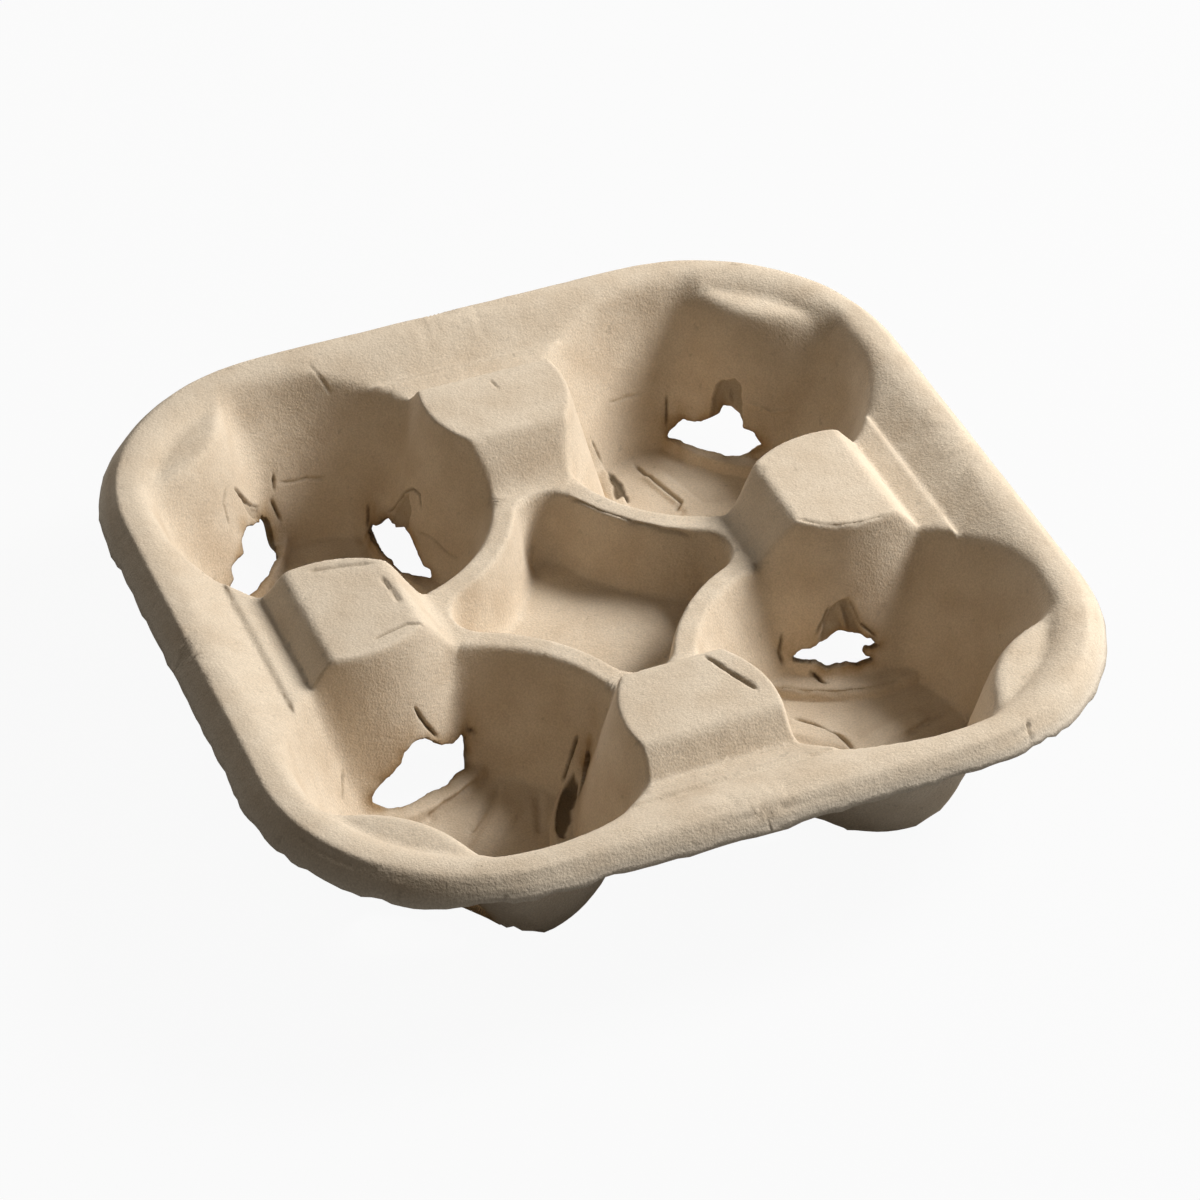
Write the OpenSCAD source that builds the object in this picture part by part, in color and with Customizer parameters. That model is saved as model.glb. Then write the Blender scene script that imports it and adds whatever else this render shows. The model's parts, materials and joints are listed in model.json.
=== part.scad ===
// Four-cup carrier tray in moulded pulp: one thin shell with a rolled rim, four
// three-lobed cup wells, four hollow posts between them and a star-shaped recess.
// The shell is the tray's filled form less the same form set back by the wall.

/* [Tray] */
// Width and depth over the skirt of the rim
tray_w = 212; // [200:0.5:225]
// Height from the feet to the crest of the rim
tray_h = 45; // [42:0.5:55]
// Thickness of the pulp
wall = 2.2; // [1.6:0.1:2.6]
// Corner radius over the skirt
corner_r = 56.5; // [50:0.5:64]

/* [Rim] */
// Drop of the skirt below the crest
skirt_drop = 6.5; // [5:0.5:10]
// How far the skirt flares out over its drop
skirt_flare = 3.8; // [2:0.1:6]
// Width of the crest between the skirt and the inner slope
crest_w = 5.9; // [4:0.1:8]
// Rounding of the crest's outer edge
crest_round = 3.2; // [2.8:0.1:4]
// Run of the gentle slope inside the crest
slope_run = 10.7; // [8:0.1:13]

/* [Ledges] */
// Depth of the ledges below the crest
ledge_drop = 5.5; // [4:0.1:7]
// Width of each ledge between the slope and the post
ledge_w = 7.6; // [6:0.1:10]
// Radius of the groove pressed along each ledge
groove_r = 2.4; // [2:0.1:3]
// Depth of that groove
groove_deep = 1.2; // [0.6:0.1:1.6]

/* [Posts] */
// Length of a post's flat top, from the ledge towards the middle
post_len = 24; // [18:0.5:30]
// Run of a post's outer face
post_run_out = 6; // [4:0.1:8]
// Run of a post's inner face
post_run_in = 8; // [5:0.1:10]
// Depth of the plateau round the recess, below the crest
plateau_drop = 12; // [9:0.1:15]

/* [Wells] */
// Radius of a well's lobes at the crest
well_r = 44.5; // [42:0.1:47]
// Radius of a well's lobes at its floor
well_floor_r = 28; // [25:0.1:32]
// Gap between a lobe and the inner edge of the crest
well_margin = 2.3; // [1.5:0.1:4]
// Rounding between a well's wall and its floor
well_fillet = 4; // [3.2:0.1:6]
// Radius at the crest of the column that bulges into a well
column_r = 28; // [24:0.1:32]
// Distance from the well's axis to a column at the crest
grip_r = 33; // [31:0.1:36]
// Distance from the well's axis to a column at the lip
grip_low_r = 23; // [21:0.1:26]
// Depth of the corner pads below the crest
pad_drop = 2.5; // [1.5:0.1:4]

/* [Floor] */
// Height of the lip before each window, above the floor
lip_h = 2.9; // [2:0.1:4]
// Distance from the well's axis to the lip's riser
lip_r = 17.5; // [15:0.1:19]
// Radius of a window's arched top
window_r = 12.5; // [9:0.1:13.5]
// Height of a window's sill above the lip
sill_h = 0.5; // [0.3:0.1:1.5]
// Width of the rib along each lobe of the floor
rib_w = 7; // [4:0.1:10]
// Height of that rib
rib_h = 0.8; // [0.4:0.1:1.4]
// Distance from the well's axis to the outer end of a rib
rib_end = 20; // [16:0.1:22]

/* [Recess] */
// Width of the ridge between a well and the recess
ridge_w = 5.6; // [5:0.1:8]
// Depth of the recess below the plateau
recess_deep = 19; // [12:0.5:24]
// Run of the recess's drafted wall
recess_run = 3.4; // [1:0.1:5]
// Width of the plateau between a tip and the foot of a post
tip_gap = 4; // [3:0.1:6]

/* [Hidden] */
$fn = 96;
pulp = "#cdb797";

// Conical bands in the rounding of a well's foot
foot_bands = 3;
// Reach of the cutting shapes past the surfaces that they cut
over = 6;
// Turn of a well's revolve, which keeps its seam in the plain part of a lobe
seam_turn = 45;
// Turn of the groove behind a corner pad, whose ends run out in the open lobes
pad_turn = 50;

// Half-sizes of the side's section, from the rim towards the middle
skirt_half = tray_w / 2;
corner_c = skirt_half - corner_r;
crest_out = skirt_half - skirt_flare;
crest_in = crest_out - crest_w;
slope_foot = crest_in - slope_run;
post_foot_out = slope_foot - ledge_w;
post_out = post_foot_out - post_run_out;
post_in = post_out - post_len;
post_foot_in = post_in - post_run_in;

// Levels
floor_z = wall;
lip_z = floor_z + lip_h;
plateau_z = tray_h - plateau_drop;
recess_z = plateau_z - recess_deep;
ledge_z = tray_h - ledge_drop;
pad_z = tray_h - pad_drop;
skirt_z = tray_h - skirt_drop;
low_z = -over;

// Wells, their lobes and the three columns round each
well_c = crest_in - well_margin - well_r;
well_deep = tray_h - floor_z;
well_run = well_r - well_floor_r;
column_c = grip_r + column_r;
column_deep = tray_h - lip_z;
column_run = grip_r - grip_low_r;
column_angles = [0, 120, 240];
lobe_angles = [60, 180, 300];
well_at_plateau = well_floor_r + well_run * (plateau_z - floor_z) / well_deep;
ridge_r = well_at_plateau + ridge_w;

// Rounded tips of the recess, each tangent to the ridges on both sides of it
tip_reach = post_foot_in - tip_gap;
tip_r = (well_c ^ 2 + (well_c - tip_reach) ^ 2 - ridge_r ^ 2) / (2 * (ridge_r + tip_reach - well_c));
tip_c = tip_reach - tip_r;
tip_join = tip_c + tip_r * (well_c - tip_c) / (ridge_r + tip_r);

// Sideways shift of a sloped face whose ends drop by one unit, for a set-back of one unit
function miter(run, drop) = (sqrt(run * run + drop * drop) - run) / drop;

// Half section of the filled rim, from the corner's centre to the skirt
module rim_section(set) {
    skirt = corner_r - set * miter(skirt_flare, skirt_drop);
    crest = skirt - skirt_flare;
    round_r = max(crest_round - set, 0.3);
    lean = atan(skirt_flare / skirt_drop);
    touch = round_r / tan(45 + lean / 2);
    polygon([[0, low_z], [skirt, low_z], [skirt, skirt_z],
             [crest + touch * sin(lean), tray_h - touch * cos(lean)],
             [crest - touch, tray_h], [0, tray_h]]);
    translate([crest - touch, tray_h - round_r]) circle(round_r);
}

// Half section of the basin inside the rim, from the corner's centre to the slope
module basin_section(set) {
    grow = set * miter(slope_run, ledge_drop);
    foot = slope_foot - corner_c + grow;
    rise = over + ledge_drop;
    polygon([[0, ledge_z], [foot, ledge_z], [foot + slope_run * rise / ledge_drop, ledge_z + rise],
             [0, ledge_z + rise]]);
}

// Carries a half section round the rounded square of the rim, filled to the middle
module around_rim(height_low, height_high) {
    for (turn = [0:90:270]) rotate(turn) {
        translate([corner_c, corner_c]) rotate_extrude(angle = 90) children();
        translate([corner_c, corner_c]) rotate([90, 0, 0]) linear_extrude(2 * corner_c) children();
    }
    translate([-corner_c, -corner_c, height_low])
        cube([2 * corner_c, 2 * corner_c, height_high - height_low]);
}

// Places its children in the frame of each well, with +X towards the tray's corner
module at_wells() {
    for (turn = [45:90:315]) rotate(turn) translate([well_c * sqrt(2), 0]) children();
}

// Column that bulges into a well, up to a given level: a drafted cone on the wider lip
module column(set, top) {
    base = column_c - grip_low_r - set * miter(column_run, column_deep);
    slope = column_run / column_deep;
    lip = column_c - lip_r - set;
    translate([column_c, 0]) rotate(seam_turn) rotate_extrude()
        polygon([[0, low_z], [lip, low_z], [lip, lip_z], [base, lip_z],
                 [base - slope * (top - lip_z), top], [0, top]]);
}

// Half section of a well's lobes, with a rounded foot of a few conical bands
module lobe_section(set) {
    foot = well_floor_r + set * miter(well_run, well_deep);
    slope = well_run / well_deep;
    round_r = well_fillet + set;
    lean = atan(slope);
    touch = round_r * tan(45 - lean / 2);
    rise = well_deep + over;
    arc = [for (i = [0:foot_bands]) -90 + i * (90 - lean) / foot_bands];
    polygon(concat([[0, floor_z]],
                   [for (a = arc) [foot - touch + round_r * cos(a), floor_z + round_r * (1 + sin(a))]],
                   [[foot + slope * rise, floor_z + rise], [0, floor_z + rise]]));
}

// Hollow of one well: three lobes between three columns, over a ribbed floor
module well(set) {
    difference() {
        rotate(seam_turn) rotate_extrude() lobe_section(set);
        for (a = column_angles) rotate(a) column(set, tray_h + 2 * over);
        for (a = lobe_angles) rotate(a)
            translate([0, -rib_w / 2 + set, low_z])
                cube([rib_end - set, rib_w - 2 * set, floor_z + rib_h - low_z]);
    }
}

// Star-shaped recess: four rounded tips between the drafted sides of four ridges
module recess(set) {
    grow = set * miter(recess_run, recess_deep);
    slope = recess_run / recess_deep;
    rise = recess_deep + over;
    difference() {
        union() {
            for (turn = [0:90:270]) rotate(turn) translate([tip_c, 0, recess_z])
                cylinder(h = rise, r1 = tip_r - recess_run + grow, r2 = tip_r + grow + slope * over);
            translate([-tip_join, -tip_join, recess_z]) cube([2 * tip_join, 2 * tip_join, rise]);
        }
        at_wells() translate([0, 0, recess_z - over])
            cylinder(h = rise + 2 * over, r1 = ridge_r - grow + recess_run + slope * over,
                     r2 = ridge_r - grow - 2 * slope * over);
    }
}

// Bars between neighbouring wells; the wells cut their flanks into posts
module post_bars(set) {
    shift = set * miter(post_run_out, ledge_drop);
    for (turn = [0:90:270]) rotate(turn)
        translate([0, well_c, 0]) rotate([90, 0, 0]) linear_extrude(2 * well_c)
            polygon([[0, low_z], [post_foot_out - shift, low_z], [post_foot_out - shift, ledge_z],
                     [post_out - shift, tray_h], [0, tray_h]]);
}

// Open middle between the inner faces of the posts, down to the plateau
module middle(set) {
    grow = set * miter(post_run_in, plateau_drop);
    rise = plateau_drop + over;
    foot = post_foot_in + grow;
    top = foot + post_run_in * rise / plateau_drop;
    intersection_for (turn = [0, 90]) rotate(turn)
        translate([0, tray_w, plateau_z]) rotate([90, 0, 0]) linear_extrude(2 * tray_w)
            polygon([[-foot, 0], [foot, 0], [top, rise], [-top, rise]]);
}

// Grooves pressed along the ledges and behind the corner pads
module grooves(set) {
    lift = groove_r - groove_deep + set;
    for (turn = [0:90:270]) rotate(turn) {
        translate([slope_foot - ledge_w / 3, well_c, ledge_z + lift]) rotate([90, 0, 0])
            cylinder(h = 2 * well_c, r = groove_r + set);
        translate([corner_c, corner_c, pad_z + lift]) rotate(45 - pad_turn / 2) rotate_extrude(angle = pad_turn)
            translate([crest_in - corner_c - slope_run * pad_drop / ledge_drop, 0]) circle(groove_r + set);
    }
}

// Filled form of the tray under its upper face, set back by a given depth
module form(set) {
    translate([0, 0, -set]) difference() {
        union() {
            difference() {
                around_rim(low_z, tray_h) rim_section(set);
                around_rim(ledge_z, ledge_z + ledge_drop + over) basin_section(set);
            }
            post_bars(set);
            intersection() {
                at_wells() column(set, pad_z);
                around_rim(low_z, tray_h) rim_section(set);
            }
        }
        middle(set);
        at_wells() well(set);
        recess(set);
        grooves(set);
    }
}

// Space round the feet, under the edge of the skirt
module under_skirt() {
    half = crest_in;
    difference() {
        translate([-tray_w, -tray_w, low_z - over]) cube([2 * tray_w, 2 * tray_w, skirt_z - low_z + over]);
        around_rim(low_z - 2 * over, skirt_z + over)
            translate([0, low_z - 2 * over]) square([half - corner_c, skirt_z - low_z + 3 * over]);
    }
}

// Arched windows through the columns, just above the lips
module windows() {
    deep = column_c - grip_low_r;
    at_wells() for (a = column_angles) rotate(a)
        translate([lip_r, 0, lip_z + sill_h]) rotate([90, 0, 90]) linear_extrude(deep / 2)
            intersection() {
                circle(window_r);
                translate([-window_r, 0]) square([2 * window_r, window_r]);
            }
}

// The whole tray
module tray() {
    color(pulp) difference() {
        form(0);
        form(wall);
        under_skirt();
        windows();
    }
}

tray();
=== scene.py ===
"""Moulded-pulp cup carrier: the torn, fibrous shell that dresses the CAD tray, with its studio.

The upper face of the tray is a height over the ground plane, worked out from soft unions and cuts of a few ramps. It is
sampled on lattices round each cup well, split more finely along torn edges, creases and cracks, and set back along its
normals for the under face. Sizes are in millimetres until the mesh is made, in the frame of the part's source.
"""

from __future__ import annotations

import json
import logging
import math
from dataclasses import dataclass, field
from enum import Enum

import bpy
import numpy as np
from mathutils import Matrix, Vector

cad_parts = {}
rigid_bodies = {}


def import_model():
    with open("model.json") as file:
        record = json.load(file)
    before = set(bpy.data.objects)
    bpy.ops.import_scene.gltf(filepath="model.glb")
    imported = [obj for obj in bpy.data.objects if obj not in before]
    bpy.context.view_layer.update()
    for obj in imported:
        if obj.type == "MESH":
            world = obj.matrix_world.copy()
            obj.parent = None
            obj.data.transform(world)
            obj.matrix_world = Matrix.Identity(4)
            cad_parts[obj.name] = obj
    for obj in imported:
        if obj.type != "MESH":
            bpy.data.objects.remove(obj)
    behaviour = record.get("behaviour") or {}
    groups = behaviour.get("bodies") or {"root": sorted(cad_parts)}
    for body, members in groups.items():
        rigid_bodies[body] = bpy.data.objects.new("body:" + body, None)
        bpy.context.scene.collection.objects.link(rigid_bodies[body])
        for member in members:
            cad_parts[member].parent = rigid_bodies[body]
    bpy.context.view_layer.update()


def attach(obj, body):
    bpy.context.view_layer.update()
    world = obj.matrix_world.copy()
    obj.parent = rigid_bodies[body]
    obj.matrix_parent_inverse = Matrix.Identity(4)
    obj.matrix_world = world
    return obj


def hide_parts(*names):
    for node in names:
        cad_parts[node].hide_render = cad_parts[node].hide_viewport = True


LOG = logging.getLogger("cup_carrier")
Array = np.ndarray
Colour = tuple[float, float, float]
Place = tuple[float, float, float]
# Metres in a millimetre
MM = 0.001
# Distance that stands for nothing nearby, and the least length that is divided by
FAR = 99.0
TINY = 1e-9
# Factors that scramble a lattice place along X, Y and Z, a seed, and the sum of these
HASH_X, HASH_Y, HASH_Z, HASH_SEED, HASH_SUM = 73856093, 19349663, 83492791, 2654435761, 1274126177
# Turns of a well's three lobes from the direction of the tray's corner, in degrees
LOBE_TURNS = (60.0, 180.0, 300.0)
# Sides of a lattice's cells, in steps, and the corners of a cell in order
CELL_SIDES = (1, 2, 4, 8)
CELL_CORNERS = np.array([(0, 0), (1, 0), (1, 1), (0, 1)])


def soft_min(a: Array, b: Array, reach: float) -> Array:
    """Lower of two heights, with the edge between them rounded.

    Where the two lie within reach of each other, the lower one drops by the square of what is left over four reaches.

    Args:
        a: First height.
        b: Second height.
        reach: Difference of height within which the edge is rounded.

    Returns:
        The rounded lower height.
    """
    near = np.maximum(reach - np.abs(a - b), 0.0)
    return np.minimum(a, b) - near * near / (4.0 * reach)


def soft_max(a: Array, b: Array, reach: float) -> Array:
    """Higher of two heights, with the corner between them rounded, as soft_min does for the lower."""
    return -soft_min(-np.asarray(a), -np.asarray(b), reach)


def smooth_step(t: Array) -> Array:
    """Eased step from 0 to 1 over the unit range, flat at both ends."""
    t = np.clip(t, 0.0, 1.0)
    return t * t * (3.0 - 2.0 * t)


def bell(t: Array) -> Array:
    """Bell curve: e to the power of minus t squared."""
    return np.exp(-(t**2))


def far_and_near(x: Array, y: Array) -> tuple[Array, Array]:
    """Larger and smaller of the distances of places from the tray's two middle lines."""
    return np.maximum(np.abs(x), np.abs(y)), np.minimum(np.abs(x), np.abs(y))


def lattice_noise(points: Array, size: float, seed: int) -> Array:
    """Smooth random field of about -1 to 1 over points in space.

    Each corner of a cubic lattice has a hashed value, and the eight round a point are blended with eased weights.

    Args:
        points: Points, one row each.
        size: Length of the lattice's cells.
        seed: Number that picks the field.

    Returns:
        One value for each point.
    """
    scaled = np.asarray(points, float) / size + 0.5
    base = np.floor(scaled).astype(np.int64)
    frac = scaled - base
    ease = frac * frac * (3.0 - 2.0 * frac)
    total = np.zeros(len(scaled))
    for corner in range(8):
        step = np.array([corner & 1, (corner >> 1) & 1, (corner >> 2) & 1])
        cell = base + step
        code = cell[:, 0] * HASH_X ^ cell[:, 1] * HASH_Y ^ cell[:, 2] * HASH_Z ^ seed * HASH_SEED
        code = (code ^ (code >> 13)) * HASH_SUM
        value = ((code ^ (code >> 16)) & 0xFFFF) / 32767.5 - 1.0
        weight = np.prod(np.where(step == 1, ease, 1.0 - ease), axis=1)
        total += weight * value
    return total


def rough_noise(points: Array, size: float, seed: int, octaves: int = 3) -> Array:
    """Sum of lattice noises, each at half the size and half the strength of the last."""
    return sum(lattice_noise(points, size / 2**k, seed + 17 * k) / 2**k for k in range(octaves))


@dataclass(frozen=True)
class Rough:
    """Rough field: its strength, the size of its lumps, its seed, and how many noises are summed."""

    strength: float
    size: float
    seed: int
    octaves: int = 2

    def at(self, points: Array) -> Array:
        """Value of the field at each point."""
        return self.strength * rough_noise(points, self.size, self.seed, self.octaves)


class Well(Enum):
    """The four wells, by the signs of their centres in X and Y."""

    BACK_RIGHT = (1, 1)
    BACK_LEFT = (-1, 1)
    FRONT_LEFT = (-1, -1)
    FRONT_RIGHT = (1, -1)

    @property
    def corner_turn(self) -> float:
        """Angle, in radians, from the well's centre towards the tray's corner."""
        return math.atan2(self.value[1], self.value[0])

    def holds(self, x: Array, y: Array) -> Array:
        """Whether places lie inside the well's quarter of the tray."""
        return (x * self.value[0] > 0) & (y * self.value[1] > 0)


class Column(Enum):
    """The three columns round a well, by their turn from the direction of the tray's corner."""

    CORNER = 0.0
    LEFT = 120.0
    RIGHT = 240.0


@dataclass(frozen=True)
class Mould:
    """Sizes of the mould's upper face, in millimetres, near those of the part's source.

    A field that ends in round or blend is the difference of height within which an edge or a corner is rounded.
    """

    half: float = 106.0
    wall: float = 2.2
    corner_r: float = 56.5
    crest_z: float = 45.0
    crest_in: float = 96.3
    crest_round: float = 2.6
    skirt_drop: float = 6.5
    skirt_flare: float = 3.8
    # The fold round the top of the skirt, and its waves as strength, length and phase
    fold_out: float = 0.3
    fold_deep: float = 1.0
    fold_half: float = 0.8
    fold_mean: float = 0.75
    fold_wave_x: tuple[float, float, float] = (0.2, 9.0, 1.0)
    fold_wave_y: tuple[float, float, float] = (0.15, 7.0, 0.0)
    slope_foot: float = 85.6
    slope_round: float = 0.7
    slope_blend: float = 0.8
    # The ledge dips at the posts, rises outward and ends in a small step
    ledge_z: float = 39.5
    ledge_wide: float = 8.4
    ledge_dip: float = 1.5
    ledge_rise: float = 2.0
    ledge_half: float = 38.0
    ledge_fade: float = 5.0
    step_in: float = 1.3
    step_deep: float = 0.9
    step_wide: float = 1.2
    post_foot_out: float = 77.0
    post_out: float = 72.4
    post_in: float = 48.0
    post_foot_in: float = 40.0
    post_round: float = 0.7
    post_blend: float = 0.5
    bar_half: float = 50.0
    plateau_z: float = 33.0
    plateau_blend: float = 2.0
    middle_round: float = 1.6
    recess_z: float = 14.0
    recess_run: float = 3.4
    recess_blend: float = 8.0
    recess_round: float = 3.0
    ridge_r: float = 45.5
    tip_reach: float = 36.0
    well_c: float = 49.5
    well_floor_r: float = 28.0
    well_r: float = 44.5
    wall_blend: float = 9.0
    corner_blend: float = 16.0
    floor_z: float = 2.2
    floor_blend: float = 1.8
    # Flat ribs on a well's floor, from behind its axis out to each lobe
    rib_high: float = 0.8
    rib_half: float = 3.6
    rib_side: float = 1.6
    rib_start: float = -2.0
    rib_end: float = 21.0
    rib_fade: float = 3.0
    column_c: float = 61.0
    column_low_r: float = 38.0
    column_high_r: float = 28.0
    deep_foot: float = 6.0
    lip_z: float = 5.1
    lip_column_r: float = 43.5
    lip_lift: float = 1.0
    lip_steep: float = 2.6
    lip_round: float = 0.6
    lip_blend: float = 0.4
    # Corner pads: they fall off outside pad_r, and drop steeply before the crest
    pad_z: float = 42.5
    pad_r: float = 27.0
    pad_fall: float = 0.15
    pad_stop: float = 3.0
    pad_drop: float = 4.0
    pad_blend: float = 1.6
    groove_deep: float = 0.6
    groove_half: float = 1.5
    groove_start: float = 62.0
    groove_fade: float = 6.0
    # Rounding of the wells' mouths, and what is added to it towards the corners
    mouth_round: float = 2.2
    mouth_corner: float = 5.0
    mouth_back_right: float = 12.0
    mouth_start: float = 54.0
    mouth_fade: float = 16.0

    @property
    def corner_c(self) -> float:
        """Distance of the corner arcs' centres from the middle."""
        return self.half - self.corner_r

    @property
    def crest_out(self) -> float:
        """Distance of the crest's outer edge from the middle."""
        return self.half - self.skirt_flare

    def past_corner(self, x: Array, y: Array) -> tuple[Array, Array]:
        """How far places lie past the corner arcs' centres, along X and along Y, from 0 up."""
        return np.maximum(np.abs(x) - self.corner_c, 0.0), np.maximum(np.abs(y) - self.corner_c, 0.0)

    def outward(self, x: Array, y: Array) -> Array:
        """Distance from the middle to the rounded square through a place, measured square to a side.

        Past both centre lines of a corner arc it is the arc's centre plus the distance from it, and elsewhere the
        larger of the distances along X and Y.

        Args:
            x: Place along X.
            y: Place along Y.

        Returns:
            The outward distance.
        """
        qx, qy = self.past_corner(x, y)
        return np.where((qx > 0) & (qy > 0), self.corner_c + np.hypot(qx, qy), far_and_near(x, y)[0])

    def rim(self, x: Array, y: Array, soft: float) -> Array:
        """Height of the rim: skirt, crest, gentle inner slope and ledge, as ramps of the outward distance.

        A fold, bell-shaped across and wavering along, runs round the top of the skirt.

        Args:
            x: Place along X.
            y: Place along Y.
            soft: Factor on the rounding of outer edges.

        Returns:
            Height of the rim.
        """
        out = self.outward(x, y)
        skirt = self.crest_z + (self.crest_out - out) * self.skirt_drop / self.skirt_flare
        fall, run = self.crest_z - self.ledge_z, self.crest_in - self.slope_foot
        slope = self.crest_z + (out - self.crest_in) * fall / run
        crest = soft_min(np.full_like(out, self.crest_z), skirt, self.crest_round * soft)
        waver = self.fold_mean
        for place, (strength, length, phase) in ((x, self.fold_wave_x), (y, self.fold_wave_y)):
            waver = waver + strength * np.sin(place / length + phase)
        fold = self.fold_deep * waver * bell((out - self.crest_out - self.fold_out) / self.fold_half)
        inner = soft_max(slope, self.ledge(x, y, out), self.slope_blend)
        return soft_min(crest - fold, inner, self.slope_round * soft)

    def ledge(self, x: Array, y: Array, out: Array) -> Array:
        """Height of the ledge: along a side it rises outward to a small step, which fades towards the corners.

        Args:
            x: Place along X.
            y: Place along Y.
            out: Outward distance.

        Returns:
            Height of the ledge.
        """
        across = far_and_near(x, y)[1]
        foot, top = self.slope_foot - self.ledge_wide, self.slope_foot - self.step_in
        rise = -self.ledge_dip + self.ledge_rise * np.clip((out - foot) / (top - foot), 0.0, 1.0)
        rise = rise - self.step_deep * smooth_step((out - top) / self.step_wide)
        return self.ledge_z + rise * smooth_step((self.ledge_half - across) / self.ledge_fade)

    def posts(self, x: Array, y: Array, soft: float) -> Array:
        """Height of the bars between the wells: level, with a sloped outer face, and short of the corners.

        Args:
            x: Place along X.
            y: Place along Y.
            soft: Factor on the rounding of outer edges.

        Returns:
            Height of the bars.
        """
        reach, across = far_and_near(x, y)
        drop = (self.crest_z - self.ledge_z) / (self.post_foot_out - self.post_out)
        face = self.crest_z + np.minimum((self.post_out - reach) * drop, self.bar_half - across)
        return soft_min(np.full_like(reach, self.crest_z), face, self.post_round * soft)

    def middle(self, x: Array, y: Array) -> Array:
        """Height of the open middle: a level plateau, and ramps up the inner faces of the posts.

        Args:
            x: Place along X.
            y: Place along Y.

        Returns:
            Height of the middle.
        """
        reach = far_and_near(x, y)[0]
        rise = (self.crest_z - self.plateau_z) / (self.post_in - self.post_foot_in)
        face = self.plateau_z + (reach - self.post_foot_in) * rise
        return soft_max(np.full_like(reach, self.plateau_z), face, self.plateau_blend)

    def recess(self, x: Array, y: Array) -> Array:
        """Height of the star-shaped recess: steep sides against the ridges, rounded tips and a flat floor.

        Inside the star a place's depth is its distance from the nearest outline, times the steepness of the sides. The
        outline is an arc round each well, joined by a smaller arc at each tip.

        Args:
            x: Place along X.
            y: Place along Y.

        Returns:
            Height of the recess, which runs on upward past the plateau.
        """
        ax, ay = np.abs(x), np.abs(y)
        side = self.ridge_r - np.hypot(ax - self.well_c, ay - self.well_c)
        tip_r = (self.well_c**2 + (self.well_c - self.tip_reach) ** 2 - self.ridge_r**2) / (
            2 * (self.ridge_r + self.tip_reach - self.well_c)
        )
        tip_c = self.tip_reach - tip_r
        join = tip_c + tip_r * (self.well_c - tip_c) / (self.ridge_r + tip_r)
        along, across = far_and_near(x, y)
        tip = np.hypot(across, np.maximum(along - tip_c, 0.0)) - tip_r
        inside = np.where(along > join, tip, side)
        steep = (self.plateau_z - self.recess_z) / self.recess_run
        return soft_max(np.full_like(ax, self.recess_z), self.plateau_z + inside * steep, self.recess_blend)

    def well(self, x: Array, y: Array) -> Array:
        """Height of the four wells, each in its own quarter of the tray.

        Args:
            x: Place along X.
            y: Place along Y.

        Returns:
            Height of the wells' surface.
        """
        height = np.zeros_like(x)
        for well in Well:
            mine = (x * well.value[0] >= 0) & (y * well.value[1] >= 0)
            u = x[mine] - well.value[0] * self.well_c
            v = y[mine] - well.value[1] * self.well_c
            height[mine] = self.one_well(well, u, v)
        return height

    def one_well(self, well: Well, u: Array, v: Array) -> Array:
        """Height inside one well: a cone on a flat floor, three drafted columns, and a lip at each column's foot.

        Args:
            well: Which well.
            u: Distance from the well's axis along X.
            v: Distance from the well's axis along Y.

        Returns:
            Height of the well's surface, which runs on upward past the rim.
        """
        r = np.hypot(u, v)
        rise = (self.crest_z - self.floor_z) / (self.well_r - self.well_floor_r)
        floor = self.ribbed_floor(well, u, v)
        wall = self.floor_z + (r - self.well_floor_r) * rise
        for column in Column:
            e, _ = self.column_place(well, column, u, v)
            foot = self.column_foot(well, column)
            ramp = self.lip_z + (foot - e) * self.column_rise(well, column)
            wall = soft_max(wall, ramp, self.corner_blend if column is Column.CORNER else self.wall_blend)
            edge = self.lip_column_r + foot - self.column_low_r
            face = self.floor_z + (edge - e) * self.lip_steep + self.lip_lift
            floor = soft_max(floor, soft_min(np.full_like(e, self.lip_z), face, self.lip_round), self.lip_blend)
        return soft_max(floor, wall, self.floor_blend)

    def ribbed_floor(self, well: Well, u: Array, v: Array) -> Array:
        """Height of a well's floor, with a flat rib from its axis towards each lobe.

        Args:
            well: Which well.
            u: Distance from the well's axis along X.
            v: Distance from the well's axis along Y.

        Returns:
            Height of the floor.
        """
        floor = np.full_like(u, self.floor_z)
        for lobe in LOBE_TURNS:
            a = well.corner_turn + math.radians(lobe)
            along = u * math.cos(a) + v * math.sin(a)
            across = -u * math.sin(a) + v * math.cos(a)
            side = smooth_step((self.rib_half - np.abs(across)) / self.rib_side)
            end = smooth_step((self.rib_end - along) / self.rib_fade)
            floor = np.maximum(floor, self.floor_z + self.rib_high * side * end * (along > self.rib_start))
        return floor

    def column_foot(self, well: Well, column: Column) -> float:
        """Radius of a column at its foot: the one at the front-left corner reaches further into its well."""
        deep = well is Well.FRONT_LEFT and column is Column.CORNER
        return self.column_low_r + (self.deep_foot if deep else 0.0)

    def column_rise(self, well: Well, column: Column) -> float:
        """Rise of a column's drafted wall for each unit that its radius shrinks."""
        return (self.crest_z - self.lip_z) / (self.column_foot(well, column) - self.column_high_r)

    def column_place(self, well: Well, column: Column, u: Array, v: Array) -> tuple[Array, Array]:
        """Place of points round a column.

        Args:
            well: Which well.
            column: Which of its columns.
            u: Distance from the well's axis along X.
            v: Distance from the well's axis along Y.

        Returns:
            Distance from the column's axis, and the turn about it from the direction of the well, in radians.
        """
        a = well.corner_turn + math.radians(column.value)
        du, dv = u - self.column_c * math.cos(a), v - self.column_c * math.sin(a)
        inward = (-math.cos(a), -math.sin(a))
        turn = np.arctan2(inward[0] * dv - inward[1] * du, inward[0] * du + inward[1] * dv)
        return np.hypot(du, dv), turn

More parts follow.
